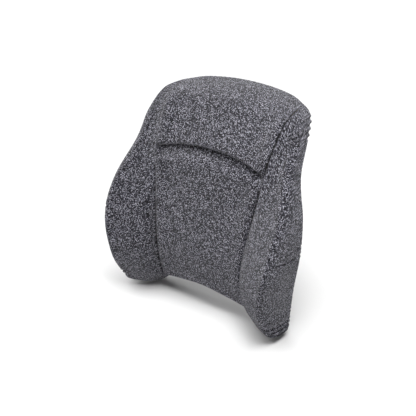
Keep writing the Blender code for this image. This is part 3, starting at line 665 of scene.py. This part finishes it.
def gathers(seed):
    """Places along the rim of small gathers: (run, width, depth, reach, lean)."""
    random = np.random.default_rng(seed)
    count = int(RIM_LENGTH / GATHER_SPACING)
    run = (np.arange(count) + random.uniform(-GATHER_JITTER, GATHER_JITTER, count)) * RIM_LENGTH / count
    width = random.uniform(*GATHER_WIDTH, count)
    depth = random.uniform(*GATHER_DEPTH, count) * random.uniform(GATHER_WEAKEST, 1, count)
    reach = random.uniform(*GATHER_REACH, count)
    lean = random.uniform(-GATHER_LEAN, GATHER_LEAN, count)
    return np.stack([run, width, depth, reach, lean], 1)


# Deep gathers at the corners of the outline: front-view place, then width, depth, reach and lean.
CORNER_GATHERS = [
    ((0.194, 0.321), 0.0026, 0.0022, 0.024, 0.50),
    ((0.199, 0.309), 0.0028, 0.0038, 0.034, 0.35),
    ((0.204, 0.297), 0.0026, 0.0034, 0.030, 0.20),
    ((0.208, 0.286), 0.0026, 0.0022, 0.022, 0.10),
    ((0.249, 0.062), 0.0026, 0.0020, 0.014, -0.9),
    ((0.249, 0.040), 0.0026, 0.0034, 0.020, -0.9),
    ((0.234, -0.118), 0.0024, 0.0020, 0.014, -0.5),
    ((0.232, -0.146), 0.0026, 0.0042, 0.028, -0.4),
    ((0.230, -0.159), 0.0026, 0.0034, 0.024, -0.4),
    ((0.228, -0.172), 0.0024, 0.0024, 0.020, -0.3),
]


def press_gathers(obj, seed, side):
    """Presses the gathers into a pad: side is 1 for the right of the cushion and -1 for the left."""
    mesh = obj.data
    points, normals = coordinates(mesh), normals_of(mesh)
    kind = layer_values(mesh, "kind")
    inside, run = nearest(points[:, 0], points[:, 2], LOOP, closed=True)
    inside = np.where(kind == TURNED, 0, inside)
    made = list(gathers(seed))
    for (x, z), *rest in CORNER_GATHERS:
        made.append([float(nearest(np.array(side * x), np.array(z), LOOP, closed=True)[1]), *rest])
    sunk = np.zeros(len(points))
    for at, width, depth, reach, lean in made:
        away = run - at - side * lean * inside
        away = (away + RIM_LENGTH / 2) % RIM_LENGTH - RIM_LENGTH / 2
        valley = np.exp(-((away / width) ** 2))
        shoulder = GATHER_SHOULDER * np.exp(-(((np.abs(away) - 2 * width) / width) ** 2))
        sunk += depth * (valley - shoulder) * np.exp(-((inside / reach) ** 2))
    sunk[kind == UNDERSIDE] = 0
    points -= normals * sunk[:, None]
    mesh.vertices.foreach_set("co", points.ravel())
    mesh.update()


# %% Build the four pads
PADS = {
    "upper_pad": ("upper", 0, ["upper_cover", "upper_foam"]),
    "lumbar_pad": ("lumbar", 0, ["lumbar_cover", "lumbar_foam"]),
    "bolster_right_pad": ("bolster", 1, ["bolster_right_cover", "bolster_right_foam"]),
    "bolster_left_pad": ("bolster", -1, ["bolster_left_cover", "bolster_left_foam"]),
}
pads = []
for seed, (name, (zone, side, stands_for)) in enumerate(PADS.items(), 1):
    mesh = bpy.data.meshes.new(name)
    bm = closed_panel(zone, left=side < 0)
    bm.to_mesh(mesh)
    bm.free()
    mesh.materials.append(tweed_cloth)
    pad = bpy.data.objects.new(name, mesh)
    scene.collection.objects.link(pad)
    mesh.shade_smooth()
    swell(pad, zone)
    finer = pad.modifiers.new("Finer", "SUBSURF")
    finer.levels = finer.render_levels = 1
    apply_modifiers(pad)
    press_gathers(pad, seed, side or 1)
    mesh = pad.data
    for spare in ("kind", "below", "inner", "pinned"):
        if spare in mesh.attributes:
            mesh.attributes.remove(mesh.attributes[spare])
    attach(pad, "root")
    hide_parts(*stands_for)
    pads.append(pad)
    print(name, len(mesh.polygons), "faces")

# %% [markdown]
# ## The dust cover
# The back is closed with a black non-woven cloth, stapled over the ends of the tweed so that no
# raw edge or foam dust shows. It is thin and lies on the board, tight at the staples and a little
# slack between them. It is made as a grid on the board's back, waved, given its thickness and cut
# to its outline and round the bolt holes with Booleans. A drape simulation would find the same
# flat lie, because the cloth has nowhere to fall.

# %% Sizes of the dust cover
DUST_INSET = 0.014
DUST_THICKNESS = 0.0005
PAD_HALF_WIDTH, PAD_HALF_HEIGHT, PAD_RAMP = 0.076, 0.085, 0.030
LIFT_PAD, LIFT_EDGE = 0.0005, 0.0051
BOLTS = [(x, z) for z in (0.060, -0.060) for x in (-0.050, 0.050)]
BOLT_ENTRY = 0.0065
CAD_STAPLES, STAPLES_BETWEEN = 14, 3
# The first CAD staple's place along the rim, as a share of the space between two.
STAPLE_PHASE, STAPLE_INSET = 0.25, 0.0175
HEM, HEM_STEP, HEM_STEP_WIDTH = 0.011, 0.0004, 0.003
# How far the cloth stands off between staples, how far in that reaches, and its slack elsewhere.
SCALLOP, SCALLOP_REACH, CLOTH_SLACK, CLOTH_SLACK_RAMP = 0.0010, 0.012, 0.0005, 0.05
DUST_GRID = 120, 130
CUTTER_REACH = 0.2


def dust_outline(inset, steps=1):
    return [tuple(inward(x, z, inset)) for x, z in LOOP[::steps]]


def dust_depth(x, z):
    """How far the dust cover's back face lies behind the board's front, square to it."""
    past_pad = np.maximum(np.abs(x) - PAD_HALF_WIDTH, np.abs(z) - PAD_HALF_HEIGHT) / PAD_RAMP
    loose = smooth(past_pad)
    inside, run = nearest(x, z, LOOP, closed=True)
    inside = inside - DUST_INSET
    spaces = (run / RIM_LENGTH * CAD_STAPLES - STAPLE_PHASE) * (1 + STAPLES_BETWEEN)
    scallop = SCALLOP * np.abs(np.sin(math.pi * spaces)) * np.exp(-((inside / SCALLOP_REACH) ** 2))
    # Two slow waves that never line up, so the slack looks accidental.
    slack = CLOTH_SLACK * (np.sin(41 * x + 13 * z) + np.sin(29 * z - 17 * x + 1.3) * np.sin(53 * x))
    hem = HEM_STEP * (1 - smooth((inside - HEM + HEM_STEP_WIDTH / 2) / HEM_STEP_WIDTH))
    return (
        BOARD_THICKNESS + LIFT_PAD + (LIFT_EDGE - LIFT_PAD) * np.clip(past_pad, 0, 1)
        + loose * (slack * smooth(inside / CLOTH_SLACK_RAMP) + scallop + hem) + DUST_THICKNESS
    )


print("dust cover's deepest point:", round(float(dust_depth(np.array(0.2), np.array(0.0))), 4), "m")

# %% Build the dust cover


def prism(points, y_from, y_to):
    """An outline in the front view, extruded from one depth to another."""
    bm = bmesh.new()
    bm.faces.new([bm.verts.new((x, y_from, z)) for x, z in points])
    made = bmesh.ops.extrude_face_region(bm, geom=bm.faces[:])["geom"]
    verts = [item for item in made if isinstance(item, bmesh.types.BMVert)]
    bmesh.ops.translate(bm, vec=(0, y_to - y_from, 0), verts=verts)
    bmesh.ops.recalc_face_normals(bm, faces=bm.faces[:])
    return bm


def object_from(bm, name, *materials):
    mesh = bpy.data.meshes.new(name)
    bm.to_mesh(mesh)
    bm.free()
    for material in materials:
        mesh.materials.append(material)
    made = bpy.data.objects.new(name, mesh)
    scene.collection.objects.link(made)
    return made


def boolean(obj, cutter, operation):
    """Cuts obj with a cutter at once, and removes the cutter."""
    modifier = obj.modifiers.new("Cut", "BOOLEAN")
    modifier.operation, modifier.solver, modifier.object = operation, "EXACT", cutter
    apply_modifiers(obj)
    bpy.data.objects.remove(cutter)


bm = bmesh.new()
bmesh.ops.create_grid(bm, x_segments=DUST_GRID[0], y_segments=DUST_GRID[1], size=1)
for vert in bm.verts:
    vert.co = (vert.co.x * HALF_WIDTH, 0, LOW_Z + (vert.co.y + 1) / 2 * HEIGHT)
x, z = np.array([(v.co.x, v.co.z) for v in bm.verts]).T
for vert, y in zip(bm.verts, board_y(x, z, dust_depth(x, z))):
    vert.co.y = y
bmesh.ops.recalc_face_normals(bm, faces=bm.faces[:])
if bm.faces[0].normal.y < 0:
    bmesh.ops.reverse_faces(bm, faces=bm.faces[:])
bmesh.ops.solidify(bm, geom=bm.faces[:], thickness=DUST_THICKNESS)
dust_cover = object_from(bm, "dust_cover_cloth")
outline = prism(dust_outline(DUST_INSET, 2), -CUTTER_REACH, CUTTER_REACH)
boolean(dust_cover, object_from(outline, "outline"), "INTERSECT")
for x, z in BOLTS:
    bm = bmesh.new()
    bmesh.ops.create_cone(
        bm, cap_ends=True, segments=32, radius1=BOLT_ENTRY, radius2=BOLT_ENTRY, depth=0.1,
        matrix=Matrix.Translation((x, 0, z)) @ Matrix.Rotation(math.pi / 2, 4, "X"),
    )
    boolean(dust_cover, object_from(bm, "entry"), "DIFFERENCE")
dust_cover.data.shade_smooth()
dust_cover.data.set_sharp_from_angle(angle=math.radians(40))
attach(dust_cover, "root")
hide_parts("dust_cover")

# %% [markdown]
# ## More staples
# An upholsterer puts a staple every 35 mm or so round a dust cover. The CAD model carries 14 of
# them as separate parts; the ones between are small and alike, so they are made as one piece.
# Each is a crown bent from flat wire, a box with bevelled edges, and its legs are in the board.

# %% Staples between
CROWN, WIRE_WIDTH, WIRE_THICKNESS = 0.010, 0.0012, 0.0007
LEG_SHOWN = 0.0012
# The legs' width and thickness as a share of the crown's, the bevel, and the crown's lift off the cloth.
LEG_SHARE, WIRE_BEVEL, CROWN_LIFT = 0.98, 0.00018, 0.0002


def cloth_y(x, z):
    """The dust cover's back face."""
    x, z = np.array(x), np.array(z)
    return float(board_y(x, z, dust_depth(x, z)))


def staple_place(share):
    """Where a staple sits and lies, at a share of the rim's length."""
    at = share % 1 * RIM_LENGTH
    k = int(np.searchsorted(LOOP_RUN, at, side="right")) - 1
    to_next = LOOP[(k + 1) % len(LOOP)] - LOOP[k]
    rim_x, rim_z = LOOP[k] + to_next * ((at - LOOP_RUN[k]) / np.linalg.norm(to_next))
    along = Vector(to_next).normalized()
    x, z = inward(rim_x, rim_z, STAPLE_INSET)
    here = Vector((x, cloth_y(x, z), z))
    reach = CROWN / 2
    ends = [Vector((x + side * along.x * reach, 0, z + side * along.y * reach)) for side in (-1, 1)]
    for end in ends:
        end.y = cloth_y(end.x, end.z)
    lie = (ends[1] - ends[0]).normalized()
    off = Vector((0, 1, 0))
    off = (off - lie * off.dot(lie)).normalized()
    here.y = max(here.y, (ends[0].y + ends[1].y) / 2)
    place = Matrix((lie, off.cross(lie), off)).transposed().to_4x4()
    place.translation = here + off * (WIRE_THICKNESS / 2 + CROWN_LIFT)
    return place


def add_staple(whole, place):
    """Adds one staple to a mesh in progress, at a place."""
    bm = bmesh.new()
    bmesh.ops.create_cube(bm, size=1, matrix=Matrix.Diagonal((CROWN, WIRE_WIDTH, WIRE_THICKNESS, 1)))
    for side in (-1, 1):
        legs = Matrix.Translation((side * (CROWN - WIRE_THICKNESS) / 2, 0, -LEG_SHOWN / 2))
        size = Matrix.Diagonal((WIRE_THICKNESS * LEG_SHARE, WIRE_WIDTH * LEG_SHARE, LEG_SHOWN, 1))
        bmesh.ops.create_cube(bm, size=1, matrix=legs @ size)
    bmesh.ops.bevel(
        bm, geom=bm.edges[:], offset=WIRE_BEVEL, segments=1, profile=0.5, affect="EDGES", material=-1
    )
    bmesh.ops.transform(bm, matrix=place, verts=bm.verts[:])
    mesh = bpy.data.meshes.new("staple")
    bm.to_mesh(mesh)
    bm.free()
    whole.from_mesh(mesh)
    bpy.data.meshes.remove(mesh)


staples = bmesh.new()
step = STAPLES_BETWEEN + 1
for number in range(CAD_STAPLES * step):
    if number % step:
        add_staple(staples, staple_place((number / step + STAPLE_PHASE) / CAD_STAPLES))
more_staples = object_from(staples, "dust_cover_staples_between")
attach(more_staples, "root")
print("staples between:", CAD_STAPLES * STAPLES_BETWEEN)

# %% [markdown]
# ## Finishes of the board, cloths and steel
# These parts are mostly inside or behind, and each still gets what its real surface has. The
# board is rotary-cut birch: pale, with long flame grain and fine dark pores. The dust cover is
# spun-bonded polypropylene, pressed with a small diamond pattern of bond points. Zinc plate is a
# grey metal with a faint crystal bloom. The strap is woven tape with ribs across it.

# %% Birch plywood


def birch():
    made, shader, tree = new_material("birch plywood, moulded", 0.55, Specular_IOR_Level=0.4)
    place = node(tree, "TexCoord", {}).outputs["Object"]
    # Grain runs up the board: the pattern is stretched 12 times along Z.
    grain = node(tree, "Mapping", {"Vector": place, "Scale": (1, 1, 0.08)})
    flame = node(tree, "TexNoise", {"Vector": grain, "Scale": 28, "Detail": 4, "Distortion": 0.8})
    rings = node(tree, "Math", {0: flame, 1: 7}, operation="MULTIPLY")
    rings = node(tree, "Math", {0: rings}, operation="FRACT")
    pores = node(tree, "TexNoise", {"Vector": grain, "Scale": 900, "Detail": 2})
    tone = node(tree, "Math", {0: rings, 1: 0.4}, operation="MULTIPLY")
    tone = node(tree, "Math", {0: pores, 1: 0.5, 2: tone}, operation="MULTIPLY_ADD")
    wood = node(tree, "ValToRGB", {"Fac": tone}, stops=[
        (0.15, "#b78a5c"), (0.45, "#cfa878"), (0.8, "#dfc096"),
    ])
    bump = node(tree, "Bump", {"Height": pores, "Strength": 0.25, "Distance": 0.0002})
    connect(tree, shader, {"Base Color": wood, "Normal": bump})
    return made


# %% Foam


def foam():
    made, shader, tree = new_material("polyurethane foam, cut", 0.95, Specular_IOR_Level=0.2)
    place = node(tree, "TexCoord", {}).outputs["Object"]
    # Open cells about 1 mm across.
    cells = node(tree, "TexVoronoi", {"Vector": place, "Scale": 950})
    tone = node(tree, "ValToRGB", {"Fac": cells}, stops=[
        (0.1, "#a8966a"), (0.5, "#d9c896"), (0.9, "#e8dab0"),
    ])
    bump = node(tree, "Bump", {"Height": cells, "Strength": 0.6, "Distance": 0.0005})
    connect(tree, shader, {"Base Color": tone, "Normal": bump})
    return made


# %% Waves across and up a piece


def waves(tree, place, spacing, axes):
    """The product of two sine waves of one spacing, along two axes: a small check of bumps."""
    turns = 2 * math.pi / spacing
    scaled = node(tree, "VectorMath", {0: place, "Scale": turns}, operation="SCALE")
    wave = node(tree, "SeparateXYZ", {"Vector": node(tree, "VectorMath", {0: scaled}, operation="SINE")})
    crossed = {number: wave.outputs[axis] for number, axis in enumerate(axes)}
    return node(tree, "Math", crossed, operation="MULTIPLY")


# %% Spun-bonded cloth
BOND_SPACING = 0.0024


def spun_bonded():
    made, shader, tree = new_material(
        "black polypropylene, spun-bonded", 0.78, Sheen_Weight=0.15, Specular_IOR_Level=0.3
    )
    place = node(tree, "TexCoord", {}).outputs["Object"]
    turned = node(tree, "Mapping", {"Vector": place, "Rotation": (0, math.radians(45), 0)})
    bond = waves(tree, turned, BOND_SPACING, "XZ")
    fibre = node(tree, "TexNoise", {"Vector": place, "Scale": 260, "Detail": 5, "Distortion": 1.5})
    tone = node(tree, "Math", {0: bond, 1: 0.16, 2: fibre}, operation="MULTIPLY_ADD")
    cloth = node(tree, "ValToRGB", {"Fac": tone}, stops=[
        (0.3, "#0f0f10"), (0.55, "#1c1c1e"), (0.85, "#333336"),
    ])
    height = node(tree, "Math", {0: bond, 1: 0.5, 2: fibre}, operation="MULTIPLY_ADD")
    bump = node(tree, "Bump", {"Height": height, "Strength": 0.5, "Distance": 0.0004})
    connect(tree, shader, {"Base Color": cloth, "Normal": bump})
    return made


# %% Steel and woven tape


def steel(name, roughness, pale, dark):
    made, shader, tree = new_material(name, roughness, Metallic=1.0)
    place = node(tree, "TexCoord", {}).outputs["Object"]
    bloom = node(tree, "TexVoronoi", {"Vector": place, "Scale": 500}).outputs["Color"]
    bloom = node(tree, "SeparateColor", {"Color": bloom})
    fine = node(tree, "TexNoise", {"Vector": place, "Scale": 1400, "Detail": 2})
    tone = node(tree, "Mix", {"Factor": 0.4, "A": fine, "B": bloom}, data_type="FLOAT")
    colour = node(tree, "ValToRGB", {"Fac": tone}, stops=[(0.2, dark), (0.8, pale)])
    limits = {"To Min": roughness - 0.08, "To Max": roughness + 0.1}
    rough = node(tree, "MapRange", {"Value": fine, **limits})
    connect(tree, shader, {"Base Color": colour, "Roughness": rough})
    return made


RIB_SPACING = 0.0012


def woven_tape():
    made, shader, tree = new_material("polypropylene tape, woven", 0.7, Sheen_Weight=0.1)
    place = node(tree, "TexCoord", {}).outputs["Object"]
    ribs = waves(tree, place, RIB_SPACING, "XZ")
    tone = node(tree, "Math", {0: ribs, 1: 0.4, 2: 0.5}, operation="MULTIPLY_ADD")
    colour = node(tree, "ValToRGB", {"Fac": tone}, stops=[(0.1, "#8f8d84"), (0.9, "#cfccc0")])
    bump = node(tree, "Bump", {"Height": ribs, "Strength": 0.5, "Distance": 0.0003})
    connect(tree, shader, {"Base Color": colour, "Normal": bump})
    return made


# %% Put the finishes on
zinc = steel("steel, zinc-plated", 0.38, "#d2d4d6", "#9fa3a8")
bright_wire = steel("spring wire, bright drawn", 0.30, "#c4c4c6", "#8c8c90")
FINISHES = [
    ("back_board", birch()), ("base_foam", foam()), ("pull_strap", woven_tape()),
    ("tee_nut", zinc), ("wire", bright_wire), ("staple", zinc),
]
for name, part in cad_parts.items():
    material = next((m for word, m in FINISHES if word in name), None)
    if material and not part.hide_render:
        part.data.materials.clear()
        part.data.materials.append(material)
dust_cover.data.materials.clear()
dust_cover.data.materials.append(spun_bonded())
more_staples.data.materials.append(zinc)
bare = [n for n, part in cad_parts.items() if not part.hide_render and not part.data.materials]
print("parts without a finish:", bare)

# %% [markdown]
# ## Floor and light
# A pale floor that runs into pale walls, wide far lights from the front, the left and the left
# rear, and two soft boxes near the cushion: one above its front right and one behind its right.

# %% Floor, lights and world
FLOOR_SIZE, FLOOR_DROP = 60, 0.002
bm = bmesh.new()
bmesh.ops.create_grid(bm, x_segments=1, y_segments=1, size=FLOOR_SIZE)
bmesh.ops.translate(bm, vec=(0, 0, LOW_Z - FLOOR_DROP), verts=bm.verts[:])
paper, paper_shader, _ = new_material("matt paper, seamless", 0.9)
paper_shader.inputs["Base Color"].default_value = linear("#d4d4d4")
object_from(bm, "floor", paper)

world = bpy.data.worlds.new("studio")
world.use_nodes = True
# The studio's walls are pale low down, where they carry the floor on, and dim higher up.
ways = node(world.node_tree, "TexCoord", {}).outputs["Generated"]
height = node(world.node_tree, "SeparateXYZ", {"Vector": ways}).outputs["Z"]
walls = node(world.node_tree, "ValToRGB", {"Fac": height}, stops=[
    (0.0, "#ffffff"), (0.14, "#ffffff"), (0.40, "#3c3c3c"),
])
connect(world.node_tree, world.node_tree.nodes["Background"], {"Color": walls, "Strength": 1.0})
scene.world = world
scene.view_settings.view_transform = "Standard"


def add_light(name, kind, energy, **settings):
    light = bpy.data.lights.new(name, kind)
    light.energy = energy
    for setting, value in settings.items():
        setattr(light, setting, value)
    made = bpy.data.objects.new(name, light)
    scene.collection.objects.link(made)
    return made


def far_light(name, azimuth, elevation, spread, strength):
    """Light from a wall of soft boxes far off, even all over the floor: its spread is in degrees."""
    made = add_light(name, "SUN", strength, angle=math.radians(spread))
    made.rotation_euler = (math.radians(90 - elevation), 0, math.radians(azimuth))


def soft_box(name, place, aim, size, power):
    """A round soft box near the cushion, aimed at a point of it."""
    made = add_light(name, "AREA", power, shape="DISK", size=size)
    made.location, made.rotation_mode = place, "QUATERNION"
    made.rotation_quaternion = (Vector(place) - Vector(aim)).to_track_quat("Z", "Y")


far_light("key", 20, 75, 40, 3.3)
far_light("fill", -40, 50, 40, 1.0)
far_light("left rim", -120, 20, 40, 2.0)
soft_box("upper right", (0.45, -0.55, 0.95), (0.20, -0.12, 0.20), 0.30, 5)
soft_box("behind right", (0.60, 0.25, 0.85), (0.20, -0.10, 0.20), 0.30, 2)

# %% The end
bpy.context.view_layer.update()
